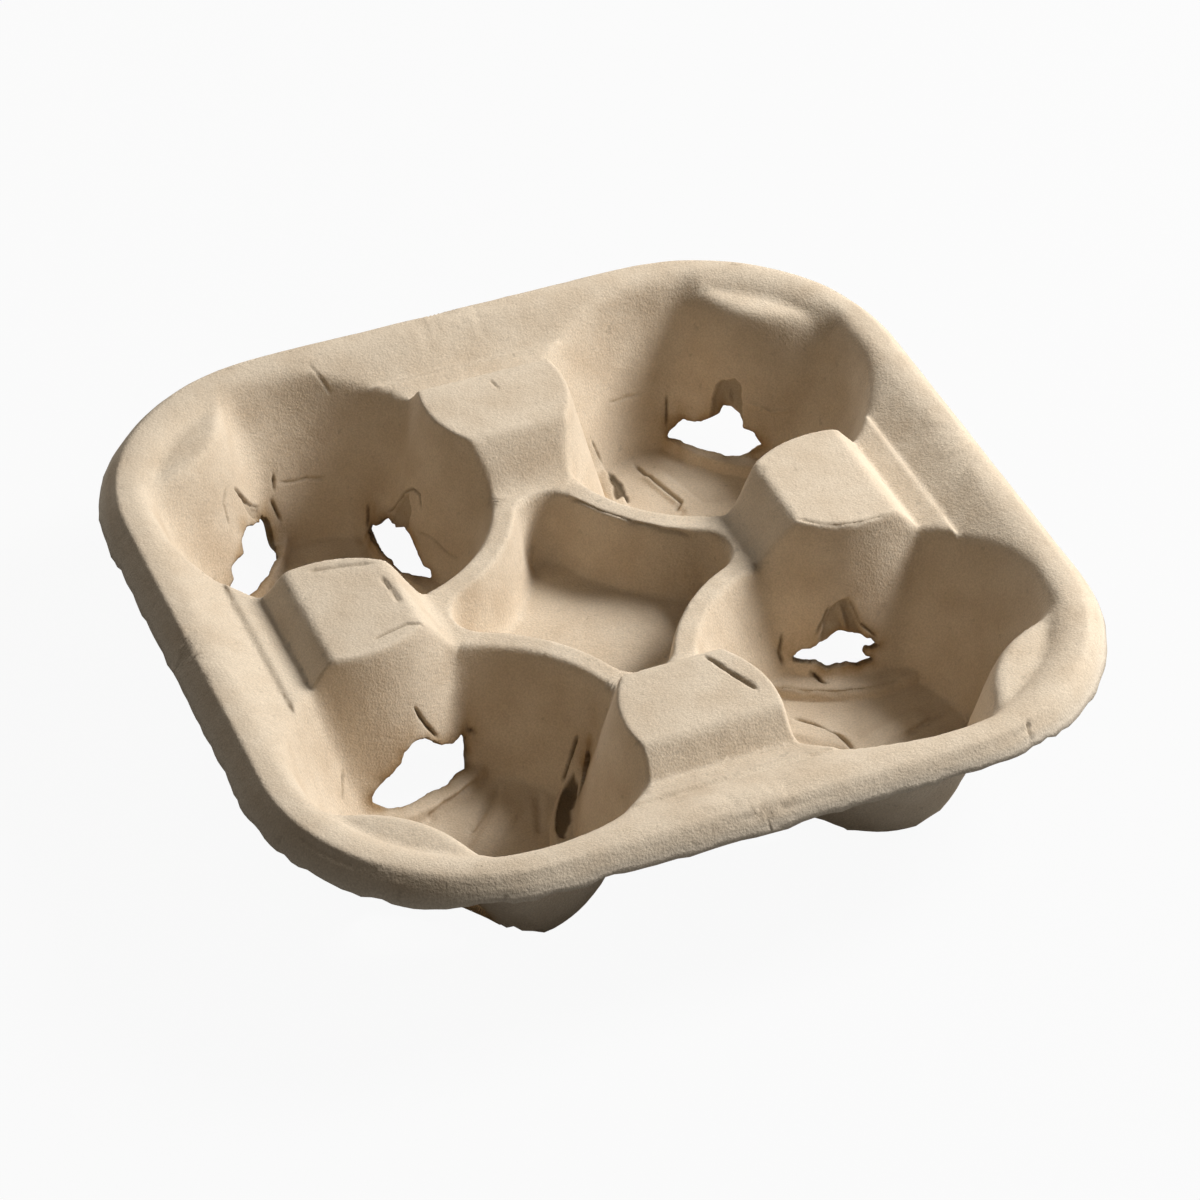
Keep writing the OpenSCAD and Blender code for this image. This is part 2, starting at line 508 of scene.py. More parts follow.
    def pads(self, x: Array, y: Array) -> Array:
        """Height of the corner pads, which top the corner columns.

        A pad falls with the square of the distance past its radius, and steeply along a ramp before the crest.

        Args:
            x: Place along X.
            y: Place along Y.

        Returns:
            Height of the pads.
        """
        far = self.well_c + self.column_c / math.sqrt(2.0)
        e = np.hypot(np.abs(x) - far, np.abs(y) - far)
        over = np.maximum(self.outward(x, y) - self.crest_in + self.pad_stop, 0.0)
        return self.pad_z - np.maximum(e - self.pad_r, 0.0) ** 2 * self.pad_fall - over * self.pad_drop

    def grooves(self, x: Array, y: Array) -> Array:
        """Depth of the grooves pressed behind the corner pads, bell-shaped across and faded at their ends.

        Args:
            x: Place along X.
            y: Place along Y.

        Returns:
            Depth of the grooves.
        """
        across = far_and_near(x, y)[1]
        drop = (self.crest_z - self.pad_z) * (self.crest_in - self.slope_foot) / (self.crest_z - self.ledge_z)
        line = bell((self.outward(x, y) - (self.crest_in - drop)) / self.groove_half)
        return self.groove_deep * (line * smooth_step((across - self.groove_start) / self.groove_fade))

    def height(self, x: Array, y: Array, soft: float = 1.0) -> Array:
        """Height of the upper face over the ground plane.

        The rim, posts and pads are joined, then the middle, the recess and the wells are cut from them.

        Args:
            x: Place along X.
            y: Place along Y.
            soft: Factor on the rounding of outer edges, above 1 for the under face.

        Returns:
            Height of the face.
        """
        solid = soft_max(self.rim(x, y, soft), self.posts(x, y, soft), self.post_blend)
        solid = soft_max(solid, self.pads(x, y), self.pad_blend)
        solid = solid - self.grooves(x, y)
        solid = soft_min(solid, self.middle(x, y), self.middle_round * soft)
        solid = soft_min(solid, self.recess(x, y), self.recess_round * soft)
        corner = smooth_step((far_and_near(x, y)[1] - self.mouth_start) / self.mouth_fade)
        mouth = np.where((x > 0) & (y > 0), self.mouth_back_right, self.mouth_corner)
        return soft_min(solid, self.well(x, y), (self.mouth_round + mouth * corner) * soft)

    def normals(self, x: Array, y: Array, soft: float = 1.0, step: float = 0.05) -> tuple[Array, Array]:
        """Height and upward unit normals of the face, from differences over a small step.

        Args:
            x: Place along X.
            y: Place along Y.
            soft: Factor on the rounding of outer edges.
            step: Half the length that a difference is taken over.

        Returns:
            Heights, and normals as rows.
        """
        z = self.height(x, y, soft)
        dx = (self.height(x + step, y, soft) - self.height(x - step, y, soft)) / (2 * step)
        dy = (self.height(x, y + step, soft) - self.height(x, y - step, soft)) / (2 * step)
        n = np.stack([-dx, -dy, np.ones_like(dx)], axis=1)
        return z, n / np.linalg.norm(n, axis=1, keepdims=True)


@dataclass(frozen=True)
class Window:
    """Torn opening through a column, as an outline on the column's wall.

    The outline's points are (across, up): the arc across the column at its mid radius, and the height on the wall,
    which runs on over the lip as one millimetre down for each millimetre of lip.
    """

    well: Well
    column: Column
    outline: tuple[tuple[float, float], ...]
    ragged: float = 0.45
    ragged_size: float = 2.4
    seed: int = 1
    second_seed: int = 50
    layer: float = 3.0
    spacing: float = 0.35
    rounds: int = 3
    arc_r: float = 36.0

    def loop(self) -> Array:
        """Outline as a closed line of close points.

        Each leg is cut into equal steps, the corners are rounded by averaging neighbours, and noise shifts the points.

        Returns:
            Points of the line, as rows of (across, up).
        """
        pts = np.array(self.outline)
        nxt = np.roll(pts, -1, axis=0)
        cuts = np.maximum((np.linalg.norm(nxt - pts, axis=1) / self.spacing).astype(int), 1)
        which = np.repeat(np.arange(len(pts)), cuts)
        t = np.concatenate([np.arange(c) / c for c in cuts])[:, None]
        line = pts[which] * (1 - t) + nxt[which] * t
        for _ in range(self.rounds):
            line = (np.roll(line, 1, axis=0) + 2 * line + np.roll(line, -1, axis=0)) / 4
        spot = np.column_stack([line, np.full(len(line), self.layer * self.seed)])
        seeds = (self.seed, self.seed + self.second_seed)
        return line + self.ragged * np.column_stack([rough_noise(spot, self.ragged_size, s) for s in seeds])

    def place(self, mould: Mould, x: Array, y: Array) -> tuple[Array, Array]:
        """Points of the face as (across, up) on the column's wall.

        Args:
            mould: The mould that has the column.
            x: Place along X.
            y: Place along Y.

        Returns:
            Arc across the column, and height on its wall.
        """
        u, v = x - self.well.value[0] * mould.well_c, y - self.well.value[1] * mould.well_c
        e, turn = mould.column_place(self.well, self.column, u, v)
        low = mould.column_foot(self.well, self.column) - e
        rise = mould.column_rise(self.well, self.column)
        return turn * self.arc_r, mould.lip_z + np.where(low > 0, low * rise, low)

    def unplace(self, mould: Mould, across: Array, up: Array) -> tuple[Array, Array]:
        """Ground places of points given as (across, up) on the column's wall, the reverse of place.

        Args:
            mould: The mould that has the column.
            across: Arc across the column.
            up: Height on its wall.

        Returns:
            Places along X and along Y.
        """
        low = up - mould.lip_z
        rise = mould.column_rise(self.well, self.column)
        e = mould.column_foot(self.well, self.column) - np.where(low > 0, low / rise, low)
        a = self.well.corner_turn + math.radians(self.column.value)
        turn = across / self.arc_r
        x = self.well.value[0] * mould.well_c + mould.column_c * math.cos(a) + e * np.cos(a + math.pi + turn)
        y = self.well.value[1] * mould.well_c + mould.column_c * math.sin(a) + e * np.sin(a + math.pi + turn)
        return x, y

    def distance(self, across: Array, up: Array) -> tuple[Array, Array]:
        """Signed distance to the torn outline, negative inside it, and the nearest point on it.

        The distance is the least of those to the outline's legs. A point is inside where a line from it along the arc
        crosses the outline an odd number of times.

        Args:
            across: Arc across the column.
            up: Height on its wall.

        Returns:
            Signed distances, and the nearest points as rows of (across, up).
        """
        line = self.loop()
        nxt = np.roll(line, -1, axis=0)
        edge = nxt - line
        p = np.column_stack([across, up])
        rel = p[:, None, :] - line[None]
        t = np.clip((rel * edge).sum(2) / np.maximum((edge * edge).sum(1), TINY), 0.0, 1.0)
        foot = line[None] + t[..., None] * edge[None]
        gap = np.linalg.norm(p[:, None, :] - foot, axis=2)
        best = gap.argmin(1)
        rows = np.arange(len(p))
        over = (line[None, :, 1] > up[:, None]) != (nxt[None, :, 1] > up[:, None])
        with np.errstate(divide="ignore", invalid="ignore"):
            cross = line[:, 0] + (up[:, None] - line[:, 1]) * edge[:, 0] / edge[:, 1]
        inside = (over & (across[:, None] < cross)).sum(1) % 2 == 1
        return np.where(inside, -1.0, 1.0) * gap[rows, best], foot[rows, best]


@dataclass(frozen=True)
class Pressed:
    """What marks do to points of the face: depth, painted shade, and distance to the nearest mark."""

    depth: Array
    painted_shade: Array
    near: Array

    @classmethod
    def nothing(cls, count: int) -> Pressed:
        """No mark anywhere near, for a count of points."""
        return cls(np.zeros(count), np.zeros(count), np.full(count, FAR))


@dataclass(frozen=True)
class Dent(Window):
    """Torn patch of a column's wall that is pushed in but not through, darkened inside with painted shade."""

    deep: float = 1.2
    # Strength of the painted shade inside the patch
    painted_shade: float = 0.5
    margin: float = 2.0
    edge_out: float = 0.35
    edge_wide: float = 0.9
    inner_near: float = 1.0

    def press(self, mould: Mould, place: Array) -> Pressed:
        """What the patch does to points of the face: an eased step down across its edge, with painted shade inside it.

        Args:
            mould: The mould that it lies on.
            place: Points of the face.

        Returns:
            Depth, painted shade and distance for each point.
        """
        found = Pressed.nothing(len(place))
        across, up = self.place(mould, place[:, 0], place[:, 1])
        low, high = np.min(self.outline, axis=0) - self.margin, np.max(self.outline, axis=0) + self.margin
        inside = (across > low[0]) & (across < high[0]) & (up > low[1]) & (up < high[1])
        rows = np.flatnonzero(inside & self.well.holds(place[:, 0], place[:, 1]))
        if len(rows):
            gap, _ = self.distance(across[rows], up[rows])
            step = smooth_step((self.edge_out - gap) / self.edge_wide)
            # Painted shade in the pushed-in patch, growing across its edge like the depth
            found.depth[rows], found.painted_shade[rows] = self.deep * step, self.painted_shade * step
            found.near[rows] = np.maximum(gap, np.minimum(-gap, self.inner_near))
        return found


@dataclass(frozen=True)
class Crease:
    """Line that is folded, pressed or cracked into the upper face, through places on the ground plane, with painted
    shade along it.
    """

    points: tuple[tuple[float, float], ...]
    deep: float = 0.5
    half: float = 0.5
    # Strength of the painted shade along the crease
    painted_shade: float = 0.4
    spacing: float = 0.3
    leg_samples: int = 120
    margin: float = 3.0
    fade_steps: float = 4.0
    fade_least: float = 0.15
    shoulder: float = 0.35
    waver: float = 0.35
    waver_size: float = 2.5
    waver_seed: int = 77

    def line(self, mould: Mould) -> Array:
        """Crease on the face: straight legs over the ground, lifted to the face and cut into equal steps.

        Args:
            mould: The mould that it lies on.

        Returns:
            Points along the crease, as rows.
        """
        pts = np.array(self.points)
        leg = np.linspace(0.0, len(pts) - 1.0, self.leg_samples * (len(pts) - 1) + 1)
        x, y = (np.interp(leg, np.arange(len(pts)), pts[:, k]) for k in (0, 1))
        path = np.column_stack([x, y, mould.height(x, y)])
        run = np.append(0.0, np.cumsum(np.linalg.norm(np.diff(path, axis=0), axis=1)))
        at = np.linspace(0.0, run[-1], max(int(run[-1] / self.spacing), 2))
        return np.column_stack([np.interp(at, run, path[:, k]) for k in range(3)])

    def press(self, mould: Mould, place: Array) -> Pressed:
        """What the crease does to points of the face.

        Across the crease the depth is a bell with a low shoulder outside it, and the painted shade a bell without one;
        both fade at both ends.

        Args:
            mould: The mould that it lies on.
            place: Points of the face.

        Returns:
            Depth, painted shade and distance for each point.
        """
        found = Pressed.nothing(len(place))
        line = self.line(mould)
        low, high = line.min(0) - self.margin, line.max(0) + self.margin
        rows = np.flatnonzero(((place > low) & (place < high)).all(1))
        if len(rows):
            gap = np.linalg.norm(place[rows, None, :] - line[None], axis=2)
            best = gap.argmin(1)
            near = gap[np.arange(len(rows)), best]
            end = np.minimum(best, len(line) - 1 - best)
            fade = np.sqrt(np.clip(end / self.fade_steps, self.fade_least, 1.0))
            wide = self.half * (1.0 + self.waver * lattice_noise(place[rows], self.waver_size, self.waver_seed))
            t = (near / wide) ** 2
            found.depth[rows] = self.deep * fade * (1.0 - self.shoulder * t) * np.exp(-t)
            # Painted shade in the crease, darkest along its line
            found.painted_shade[rows] = self.painted_shade * fade * np.exp(-t)
            found.near[rows] = near
        return found


# Outline of a window that the photo hides
ARCH = (
    (-12.0, 5.6), (-11.2, 9.4), (-8.6, 13.0), (-4.6, 16.4), (0.0, 17.6), (4.8, 16.0), (8.8, 12.6), (11.4, 9.0),
    (12.0, 5.6), (4.0, 5.0), (-4.0, 5.2),
)

# The twelve windows: the torn outlines that show, and plain arches for the hidden ones
WINDOWS = (
    Window(
        Well.BACK_RIGHT, Column.CORNER,
        (
            (-3.6, 16.4), (-1.0, 16.8), (1.2, 15.3), (2.8, 12.4), (5.8, 11.5), (8.0, 8.4), (4.4, 5.0), (0.1, 3.3),
            (-5.5, 3.3), (-13.3, 2.4), (-15.6, 1.2), (-16.0, 2.6), (-14.6, 4.6), (-11.6, 7.8), (-7.4, 12.2),
        ),
        seed=11,
    ),
    Window(
        Well.FRONT_RIGHT, Column.LEFT,
        (
            (-1.4, 17.0), (3.0, 15.6), (6.8, 14.2), (9.3, 11.5), (7.6, 11.0), (5.6, 12.0), (5.0, 10.8), (6.8, 8.0),
            (1.9, 7.6), (-1.6, 7.9), (-5.2, 7.5), (-6.9, 8.9), (-11.9, 8.5), (-12.9, 9.8), (-10.2, 12.6),
            (-5.3, 14.0), (-3.4, 15.9),
        ),
        seed=19,
    ),
    Window(
        Well.FRONT_LEFT, Column.RIGHT,
        (
            (5.0, 18.3), (8.9, 13.9), (15.2, 10.2), (16.1, 5.0), (13.8, 3.9), (9.7, 4.7), (6.1, 3.8), (3.0, 4.8),
            (-2.0, 3.9), (-5.5, 3.9), (-9.6, 5.2), (-12.0, 6.9), (-12.0, 9.0), (-9.6, 11.5), (-6.9, 13.2),
            (-3.9, 14.9), (-2.0, 17.5), (1.7, 19.2),
        ),
        seed=31,
    ),
    Window(
        Well.BACK_LEFT, Column.CORNER,
        (
            (8.6, 14.7), (14.4, 8.7), (15.7, 4.1), (7.8, 1.4), (-1.9, 1.6), (-8.4, 2.0), (-10.4, 4.6), (-8.8, 7.6),
            (-6.8, 8.9), (-6.2, 12.2), (-2.6, 12.9), (0.2, 12.5), (0.9, 15.2), (4.4, 16.9),
        ),
        seed=3,
    ),
    Window(
        Well.BACK_LEFT, Column.RIGHT,
        (
            (-13.3, 7.9), (-4.1, 12.5), (-1.0, 11.9), (4.6, 6.9), (7.4, 7.0), (8.2, 4.8), (4.8, 3.3), (1.5, 1.2),
            (-2.8, 1.6), (-14.6, 0.4), (-15.8, 1.3),
        ),
        seed=5,
    ),
    Window(Well.BACK_LEFT, Column.LEFT, ARCH, seed=7),
    Window(
        Well.BACK_RIGHT, Column.LEFT,
        (
            (6.0, 5.8), (6.6, 10.0), (9.5, 13.0), (13.0, 12.0), (16.0, 9.0), (17.0, 5.8),
        ),
        seed=13,
    ),
    Window(Well.BACK_RIGHT, Column.RIGHT, ARCH, seed=17),
    Window(Well.FRONT_RIGHT, Column.CORNER, ARCH, seed=23),
    Window(Well.FRONT_RIGHT, Column.RIGHT, ARCH, seed=29),
    Window(
        Well.FRONT_LEFT, Column.LEFT,
        (
            (-18.5, 5.8), (-18.0, 10.0), (-15.5, 13.0), (-13.0, 11.0), (-12.4, 5.8),
        ),
        seed=37,
    ),
    Window(Well.FRONT_LEFT, Column.CORNER, ARCH, seed=41),
)

# Flaps and slits that are torn but not open, darkened with painted shade; on the last two, the slits, it stands for the
# shade seen through them
DENTS = (
    Dent(
        Well.BACK_RIGHT, Column.CORNER,
        (
            (-6.8, 12.6), (-6.8, 18.6), (-6.2, 21.8), (-4.7, 24.0), (-2.0, 25.2), (0.5, 24.0), (1.8, 20.8),
            (2.6, 13.0),
        ),
        seed=2, deep=1.3, painted_shade=0.45,
    ),
    Dent(
        Well.FRONT_RIGHT, Column.LEFT,
        (
            (-6.6, 13.0), (-5.4, 20.0), (-3.8, 23.4), (-1.4, 25.6), (0.8, 25.6), (2.6, 22.0), (4.0, 18.6),
            (5.4, 14.6),
        ),
        seed=4, deep=1.3, painted_shade=0.4,
    ),
    Dent(
        Well.BACK_LEFT, Column.RIGHT,
        (
            (-14.0, 7.8), (-11.6, 14.2), (-9.0, 19.4), (-6.4, 21.6), (-4.0, 18.0), (-3.0, 12.6),
        ),
        seed=6, deep=0.9, painted_shade=0.35,
    ),
    Dent(
        Well.BACK_LEFT, Column.CORNER,
        (
            (6.4, 26.0), (9.0, 23.6), (12.6, 16.6), (14.8, 11.0), (13.0, 9.6), (10.0, 15.4),
        ),
        seed=8, deep=0.8, painted_shade=0.3,
    ),
    Dent(
        Well.FRONT_LEFT, Column.LEFT,
        (
            (-16.8, 3.0), (-16.2, 0.6), (-12.0, 0.4), (-6.0, 0.6), (-0.6, 0.6), (-0.4, 2.8), (-7.7, 4.4),
            (-14.8, 4.6),
        ),
        seed=10, deep=0.5, painted_shade=0.85,
    ),
    Dent(
        Well.BACK_RIGHT, Column.LEFT,
        (
            (16.1, -1.6), (14.7, -2.6), (10.6, -2.3), (5.1, -1.4), (3.7, 3.0), (8.0, 2.2), (12.0, 1.0),
        ),
        seed=12, deep=0.5, painted_shade=0.9,
    ),
)

# Cracks, folds and pressed lines, darkened with painted shade; a negative depth stands out
CREASES = (
    Crease(((-66.3, 73.8), (-62.4, 76.5), (-58.6, 79.6)), 0.8, 0.38, 0.7),
    Crease(((-69.3, 71.2), (-70.9, 68.7), (-70.4, 67.3)), 0.4, 0.4, 0.3),
    Crease(((-52.9, 84.4), (-53.5, 82.8)), 0.7, 0.38, 0.7),
    Crease(((-51.3, 83.5), (-44.7, 83.1), (-40.3, 82.0)), 0.4, 0.4, 0.3),
    Crease(((-54.7, 81.8), (-53.9, 80.8), (-53.1, 79.8)), 0.9, 0.38, 0.9),
    Crease(((-31.2, 74.9), (-31.7, 73.7), (-32.4, 72.8)), 0.7, 0.38, 0.7),
    Crease(((-27.6, 70.9), (-26.1, 67.7), (-24.8, 64.8), (-23.7, 61.1), (-23.0, 57.8), (-23.4, 56.3)), 0.6, 0.34, 0.6),
    Crease(((-24.8, 55.2), (-21.3, 47.0), (-18.8, 42.3)), 0.4, 0.4, 0.25),
    Crease(((-66.4, 15.6), (-59.0, 14.5), (-51.8, 12.7)), 0.5, 0.6, 0.35),
    Crease(((-51.4, 6.8), (-50.8, 1.7), (-50.7, -3.5)), 0.9, 0.45, 0.6),
    Crease(((-60.8, -13.9), (-56.3, -12.6), (-52.0, -11.7), (-48.3, -13.0)), 0.6, 0.38, 0.45),
    Crease(((-38.5, 94.6), (-36.9, 91.0), (-35.0, 88.6)), 0.4, 0.4, 0.3),
    Crease(((0.8, 69.4), (1.5, 65.4)), 0.5, 0.38, 0.4),
    Crease(((70.8, 66.0), (75.6, 62.2), (80.0, 59.8)), -0.6, 0.5, 0.0),
    Crease(((38.3, 81.8), (43.6, 82.9), (48.5, 83.3)), 0.3, 0.4, 0.15),
    Crease(((54.8, 82.1), (54.2, 80.6), (53.7, 79.4)), 0.8, 0.38, 0.7),
    Crease(((42.3, 73.8), (44.4, 63.5), (46.9, 54.3), (44.7, 52.3)), 1.0, 0.68, 0.45),
    Crease(((30.9, 75.4), (31.9, 74.6), (32.9, 73.7)), 0.6, 0.3, 0.5),
    Crease(((49.1, -11.6), (53.0, -15.2), (56.7, -17.1), (62.8, -18.2), (68.7, -18.1)), 0.5, 0.6, 0.25),
    Crease(((7.4, 31.9), (12.0, 24.2), (18.0, 16.9), (23.4, 12.1), (29.3, 8.3)), 0.6, 0.45, 0.4),
    Crease(((7.9, -49.6), (9.1, -51.9), (10.3, -55.4), (12.2, -59.7), (14.2, -64.4)), 1.0, 0.6, 0.5),
    Crease(((47.8, -23.9), (49.1, -25.2), (49.9, -27.5)), 1.0, 0.45, 0.9),
    Crease(((39.1, -24.3), (44.4, -27.9), (51.5, -31.2), (59.5, -33.0), (66.9, -33.4)), 0.6, 0.9, 0.3),
    Crease(((39.1, -33.8), (42.6, -37.7), (45.9, -43.2), (46.7, -46.7), (46.9, -50.0)), 1.0, 0.68, 0.4),
    Crease(((61.4, -49.6), (67.5, -47.5), (73.8, -45.6)), 0.5, 0.8, 0.15),
    Crease(((66.6, -98.3), (66.2, -100.2), (66.1, -101.8)), 0.7, 0.38, 0.6),
    Crease(((-102.1, -65.4), (-103.2, -66.1)), 0.6, 0.38, 0.5),
    Crease(((-83.6, -92.2), (-84.5, -93.0)), 0.6, 0.38, 0.5),
    Crease(((-63.1, -102.7), (-62.0, -104.0)), 0.6, 0.38, 0.5),
    Crease(((-53.9, -21.0), (-52.6, -21.4), (-51.3, -21.6), (-48.9, -21.6)), 1.0, 0.45, 0.9),
    Crease(((-40.1, -18.4), (-38.5, -19.4)), 0.9, 0.52, 1.0),
    Crease(((-74.1, -26.0), (-75.0, -28.2), (-76.0, -30.7)), 0.6, 0.38, 0.5),
    Crease(((-39.4, -25.8), (-48.1, -30.4), (-56.4, -33.5)), 0.9, 1.2, 0.1),
    Crease(((-35.7, -28.2), (-41.8, -34.4), (-48.4, -41.1)), 1.0, 1.2, 0.12),
    Crease(((-28.4, -34.3), (-30.7, -40.6), (-33.2, -47.5)), 0.9, 1.2, 0.1),
    Crease(((-18.7, -35.3), (-20.4, -35.9), (-22.9, -36.6)), 1.0, 0.45, 1.0),
    Crease(((53.2, -21.6), (51.5, -21.9), (49.9, -22.1)), 0.8, 0.38, 0.6),
    Crease(((57.7, -22.5), (59.2, -23.8), (60.2, -24.8), (64.2, -26.3)), 0.8, 0.38, 0.6),
    Crease(((55.7, -22.5), (56.2, -23.4), (56.9, -24.5)), -0.9, 0.6, 0.0),
    Crease(((42.4, -18.1), (41.2, -19.4), (41.8, -20.6)), 0.8, 0.45, 0.8),
    Crease(((66.8, 70.6), (66.9, 69.3)), -0.8, 0.6, 0.0),
)


@dataclass(frozen=True)
class NodeBench:
    """Adds nodes to one material and links them."""

    tree: bpy.types.NodeTree

    def add(
        self,
        kind: str,
        values: dict[str | int, object],
        links: dict[str | int, bpy.types.NodeSocket],
        settings: dict[str, object] | None = None,
    ) -> bpy.types.Node:
        """Adds a node.

        Args:
            kind: Blender's name for the type of node.
            values: Constants of its inputs.
            links: Sockets that feed its inputs.
            settings: Properties of the node itself, set first.

        Returns:
            The node.
        """
        node = self.tree.nodes.new(kind)
        for key, value in (settings or {}).items():
            setattr(node, key, value)
        for key, value in values.items():
            node.inputs[key].default_value = value
        for key, socket in links.items():
            self.tree.links.new(socket, node.inputs[key])
        return node

    def noise(self, scale: float, detail: float) -> bpy.types.NodeSocket:
        """Value of a noise on Object coordinates."""
        coord = self.add("ShaderNodeTexCoord", {}, {}).outputs["Object"]
        return self.add("ShaderNodeTexNoise", {"Scale": scale, "Detail": detail}, {"Vector": coord}).outputs["Fac"]

    def tint(
        self, under: bpy.types.NodeSocket, colour: Colour, share: bpy.types.NodeSocket
    ) -> bpy.types.NodeSocket:
        """Colour that goes from the one under it to another by a share."""
        values, links = {"B": (*colour, 1.0)}, {"A": under, "Factor": share}
        return self.add("ShaderNodeMix", values, links, {"data_type": "RGBA"}).outputs["Result"]


@dataclass(frozen=True)
class Specks:
    """Fine darker specks: the noise's scale, its range that is spread out, and the least brightness."""

    scale: float
    low: float
    high: float
    least: float


@dataclass(frozen=True)
class Bumps:
    """Relief finer than the mesh: the noise's scale and detail, its strength, and its height in metres."""

    scale: float
    detail: float
    strength: float
    distance: float


@dataclass(frozen=True)
class PulpFinish:
    """Uncoated moulded pulp: warm beige, mottled, fibrous and matt."""

    name: str = "pulp"
    pale: Colour = (0.70, 0.585, 0.445)
    deep: Colour = (0.62, 0.50, 0.365)
    torn: Colour = (0.40, 0.26, 0.13)
    # Painted shade for creases, dents, slits and the edges of tears
    shade: Colour = (0.10, 0.065, 0.03)
    # Painted highlight along the skirt's edge
    fray: Colour = (0.72, 0.62, 0.49)
    roughness: float = 0.92
    shine: float = 0.15
    mottle_scale: float = 90.0
    mottle_detail: float = 6.0
    mottle_range: tuple[float, float] = (0.3, 0.6)
    speck_detail: float = 2.0
    specks: tuple[Specks, ...] = (Specks(2200.0, 0.35, 0.65, 0.84), Specks(420.0, 0.25, 0.32, 0.84))
    bumps: tuple[Bumps, ...] = (Bumps(420.0, 3.0, 0.22, 0.0008), Bumps(1700.0, 4.0, 0.4, 0.0004))

    def make(self) -> bpy.types.Material:
        """Builds the material: a matt shader with a mottled and marked colour, and two sizes of bumps.

        Returns:
            The material.
        """
        mat = bpy.data.materials.new(self.name)
        mat.use_nodes = True
        mat.node_tree.nodes.clear()
        bench = NodeBench(mat.node_tree)
        values = {"Roughness": self.roughness, "Specular IOR Level": self.shine}
        links = {"Base Color": self.colour(bench), "Normal": self.relief(bench)}
        shader = bench.add("ShaderNodeBsdfPrincipled", values, links)
        bench.add("ShaderNodeOutputMaterial", {}, {"Surface": shader.outputs["BSDF"]})
        return mat

    def colour(self, bench: NodeBench) -> bpy.types.NodeSocket:
        """Colour: mottled pale and deep, tinted by the mesh's torn strength, its painted shade and its painted
        highlight, and specked.

        Args:
            bench: Bench of the material's nodes.

        Returns:
            Socket of the colour.
        """
        spread = dict(zip(("From Min", "From Max"), self.mottle_range))
        mottle = bench.noise(self.mottle_scale, self.mottle_detail)
        share = bench.add("ShaderNodeMapRange", spread, {"Value": mottle}).outputs["Result"]
        ends = {"A": (*self.deep, 1.0), "B": (*self.pale, 1.0)}
        last = bench.add("ShaderNodeMix", ends, {"Factor": share}, {"data_type": "RGBA"}).outputs["Result"]
        # The first tint is the colour of torn pulp, the second is painted shade and the third a painted highlight
        for key, tint in (("torn", self.torn), ("painted_shade", self.shade), ("painted_highlight", self.fray)):
            mark = bench.add("ShaderNodeAttribute", {}, {}, {"attribute_name": key})
            last = bench.tint(last, tint, mark.outputs["Fac"])
        for speck in self.specks:
            spread = {"From Min": speck.low, "From Max": speck.high, "To Min": speck.least}
            field_value = bench.noise(speck.scale, self.speck_detail)
            share = bench.add("ShaderNodeMapRange", spread, {"Value": field_value}).outputs["Result"]
            settings = {"data_type": "RGBA", "blend_type": "MULTIPLY"}
            last = bench.add("ShaderNodeMix", {"Factor": 1.0}, {"A": last, "B": share}, settings).outputs["Result"]
        return last

    def relief(self, bench: NodeBench) -> bpy.types.NodeSocket:
        """Normal bent by one bump after another.

        Args:
            bench: Bench of the material's nodes.

        Returns:
            Socket of the normal.
        """
        last: dict[str | int, bpy.types.NodeSocket] = {}
        for bump in self.bumps:
            values = {"Strength": bump.strength, "Distance": bump.distance}
            node = bench.add("ShaderNodeBump", values, {"Height": bench.noise(bump.scale, bump.detail), **last})
            last = {"Normal": node.outputs["Normal"]}
        return last["Normal"]


@dataclass
class Lattice:
    """Grid of ground places, split into square cells of 1, 2, 4 or 8 steps."""

    x: Array
    y: Array
    ids: Array = field(default_factory=lambda: np.zeros(0, int))

    def cells(self, want: Array) -> list[tuple[Array, Array, int]]:
        """Splits the grid into cells no larger than wanted anywhere in them.

        Every cell that is larger than wanted at one of its points is cut in four, until none is left.

        Args:
            want: Largest cell allowed at each point of the grid.

        Returns:
            Rows, columns and size of the cells of each size.
        """
        size = CELL_SIDES[-1]
        rows, cols = (n - 1 for n in self.x.shape)
        i, j = np.meshgrid(np.arange(0, rows, size), np.arange(0, cols, size), indexing="ij")
        i, j = i.ravel(), j.ravel()
        found = []
        while size >= 1:
            least = np.full(len(i), size)
            for di in range(size + 1):
                for dj in range(size + 1):
                    least = np.minimum(least, want[i + di, j + dj])
            split = (least < size) & (size > 1)
            found.append((i[~split], j[~split], size))
            size //= 2
            i, j = i[split], j[split]
            i, j = np.concatenate([i, i + size, i, i + size]), np.concatenate([j, j, j + size, j + size])
        return found


@dataclass(frozen=True)
class Faces:
    """Faces of one side of the shell: the numbers of their corners, one face after another, and each one's count."""

    corners: Array
    counts: Array

    @property
    def starts(self) -> Array:
        """Where each face's corners start."""
        return np.cumsum(self.counts) - self.counts

    def renumbered(self, number: Array) -> Faces:
        """The same faces, with other numbers for their corners."""
        return Faces(number[self.corners], self.counts)

    def turned_over(self) -> Faces:
        """The same faces, with their corners the other way round."""
        start, count = np.repeat(self.starts, self.counts), np.repeat(self.counts, self.counts)
        return Faces(self.corners[start + count - 1 - (np.arange(len(self.corners)) - start)], self.counts)

    def open_edges(self) -> Array:
        """Edges that no other face runs the other way.

        Returns:
            Pairs of corner numbers, as rows.
        """
        nxt = np.arange(len(self.corners)) + 1
        nxt[self.starts + self.counts - 1] = self.starts
        a, b = self.corners, self.corners[nxt]
        top = int(self.corners.max()) + 1
        forward, backward = a.astype(np.int64) * top + b, b.astype(np.int64) * top + a
        lone = ~np.isin(forward, backward)
        return np.column_stack([a[lone], b[lone]])


